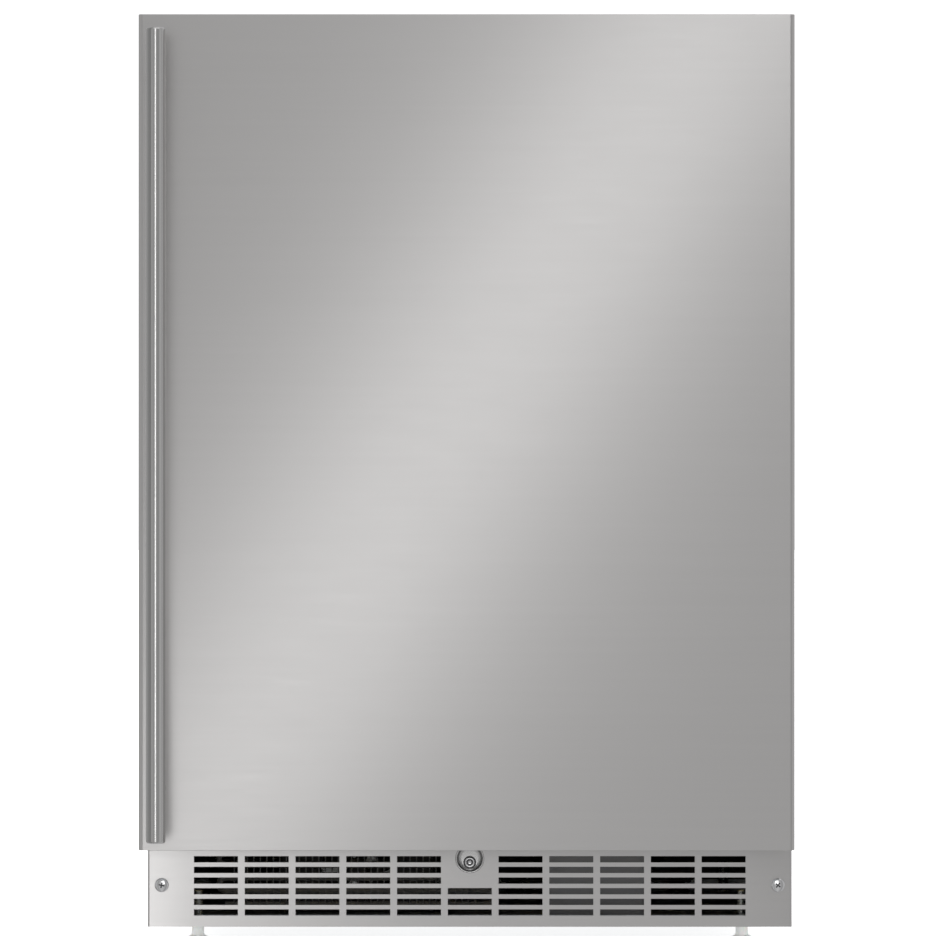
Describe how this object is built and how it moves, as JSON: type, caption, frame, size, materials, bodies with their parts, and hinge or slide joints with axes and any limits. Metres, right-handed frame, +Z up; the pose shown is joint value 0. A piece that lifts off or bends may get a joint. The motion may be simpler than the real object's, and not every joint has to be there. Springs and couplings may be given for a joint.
{
  "type": "undercounter refrigerator",
  "caption": "Undercounter refrigerator with a solid steel door, full-height bar handle, vented toe grille with key lock, and shelves, door bins and a crisper inside.",
  "frame": {"origin": "on the floor, under the middle of the whole object's box with the door shut", "axes": "+Z up, -Y out of the door, +X towards the hinge side"},
  "size_m": [0.605, 0.652, 0.876],
  "materials": {
    "door_steel": "satin",
    "grille_steel": "satin",
    "polished_steel": "polished",
    "lock_dish": "satin",
    "chrome": "polished",
    "zinc_plate": "satin",
    "aluminium": "satin",
    "copper": "satin",
    "black_paint": "satin",
    "grey_paint": "satin",
    "white_plastic": "satin",
    "grey_plastic": "satin",
    "black_plastic": "satin",
    "clear_plastic": "gloss",
    "lamp_plastic": "satin",
    "gasket_rubber": "matte",
    "foam": "matte",
    "shelf_glass": "polished"
  },
  "bodies": {
    "cabinet": {"side_panel_left": "black_paint", "side_panel_right": "black_paint", "top_panel": "black_paint", "back_panel": "zinc_plate", "front_frame": "grey_paint", "foam_insulation": "foam", "inner_liner": "white_plastic", "base_pan": "zinc_plate", "rear_bay_cover": "black_paint", "power_inlet": "black_plastic", "toe_grille": "grille_steel", "grille_screw_left": "chrome", "grille_screw_right": "chrome", "lock_housing": "lock_dish", "hinge_bracket_top": "zinc_plate", "hinge_bracket_bottom": "zinc_plate", "hinge_pin_top": "polished_steel", "hinge_pin_bottom": "polished_steel", "crisper_cover": "shelf_glass", "control_housing": "white_plastic", "lamp_cover": "lamp_plastic", "evaporator_cover": "white_plastic", "evaporator_fan_motor": "zinc_plate", "evaporator_coil": "aluminium", "control_box": "grey_paint", "condenser_coil": "black_paint", "condenser_shroud": "black_plastic", "condenser_fan_motor": "zinc_plate", "compressor": "black_paint", "drain_pan": "black_plastic", "filter_drier": "copper", "discharge_line": "copper", "liquid_line": "copper", "suction_line": "copper"},
    "door": {"door_skin": "door_steel", "door_end_cap_top": "grey_plastic", "door_end_cap_bottom": "grey_plastic", "door_foam": "foam", "door_liner": "white_plastic", "door_gasket": "gasket_rubber", "handle_tube": "polished_steel", "handle_post_top": "polished_steel", "handle_post_bottom": "polished_steel", "lock_catch_plate": "zinc_plate"},
    "bin_lower": {"door_bin_lower": "clear_plastic"},
    "bin_middle": {"door_bin_middle": "clear_plastic"},
    "bin_upper": {"door_bin_upper": "clear_plastic"},
    "shelf_low": {"shelf_lower": "shelf_glass"},
    "shelf_high": {"shelf_upper": "shelf_glass"},
    "crisper": {"crisper_drawer": "clear_plastic"},
    "lock": {"lock_cylinder": "chrome", "lock_cam": "zinc_plate"},
    "temperature_dial": {"temperature_knob": "grey_plastic"},
    "light_switch": {"light_button": "grey_plastic"},
    "cold_fan": {"evaporator_fan": "black_plastic"},
    "bay_fan": {"condenser_fan": "black_plastic"},
    "foot_fl": {"foot_front_left": "white_plastic"},
    "foot_fr": {"foot_front_right": "white_plastic"},
    "foot_rl": {"foot_rear_left": "white_plastic"},
    "foot_rr": {"foot_rear_right": "white_plastic"}
  },
  "joints": [
    {"name": "door_swing", "type": "hinge", "parent": "cabinet", "child": "door", "pos_m": [0.2865, -0.25, 0.1053], "axis": [0, 0, 1], "range_deg": [0, 110]},
    {"name": "bin_lower_lift", "type": "slide", "parent": "door", "child": "bin_lower", "axis": [0, 0, 1], "range_m": [0, 0.02]},
    {"name": "bin_middle_lift", "type": "slide", "parent": "door", "child": "bin_middle", "axis": [0, 0, 1], "range_m": [0, 0.02]},
    {"name": "bin_upper_lift", "type": "slide", "parent": "door", "child": "bin_upper", "axis": [0, 0, 1], "range_m": [0, 0.02]},
    {"name": "shelf_lower_slide", "type": "slide", "parent": "cabinet", "child": "shelf_low", "axis": [0, -1, 0], "range_m": [0, 0.09]},
    {"name": "shelf_upper_slide", "type": "slide", "parent": "cabinet", "child": "shelf_high", "axis": [0, -1, 0], "range_m": [0, 0.09]},
    {"name": "crisper_slide", "type": "slide", "parent": "cabinet", "child": "crisper", "axis": [0, -1, 0], "range_m": [0, 0.065]},
    {"name": "lock_turn", "type": "hinge", "parent": "cabinet", "child": "lock", "pos_m": [0.0029, -0.1995, 0.0908], "axis": [0, 1, 0], "range_deg": [0, 90]},
    {"name": "temperature_turn", "type": "hinge", "parent": "cabinet", "child": "temperature_dial", "pos_m": [-0.052, -0.148, 0.803], "axis": [0, 0, -1], "range_deg": [0, 270]},
    {"name": "light_press", "type": "slide", "parent": "cabinet", "child": "light_switch", "axis": [0, 0, 1], "range_m": [0, 0.003]},
    {"name": "cold_fan_spin", "type": "hinge", "parent": "cabinet", "child": "cold_fan", "pos_m": [0.0029, 0.236, 0.7], "axis": [0, 1, 0], "continuous": true},
    {"name": "bay_fan_spin", "type": "hinge", "parent": "cabinet", "child": "bay_fan", "pos_m": [-0.105, -0.03, 0.0745], "axis": [0, 1, 0], "continuous": true},
    {"name": "foot_front_left_extend", "type": "slide", "parent": "cabinet", "child": "foot_fl", "axis": [0, 0, -1], "range_m": [0, 0.02]},
    {"name": "foot_front_right_extend", "type": "slide", "parent": "cabinet", "child": "foot_fr", "axis": [0, 0, -1], "range_m": [0, 0.02]},
    {"name": "foot_rear_left_extend", "type": "slide", "parent": "cabinet", "child": "foot_rl", "axis": [0, 0, -1], "range_m": [0, 0.02]},
    {"name": "foot_rear_right_extend", "type": "slide", "parent": "cabinet", "child": "foot_rr", "axis": [0, 0, -1], "range_m": [0, 0.02]}
  ]
}
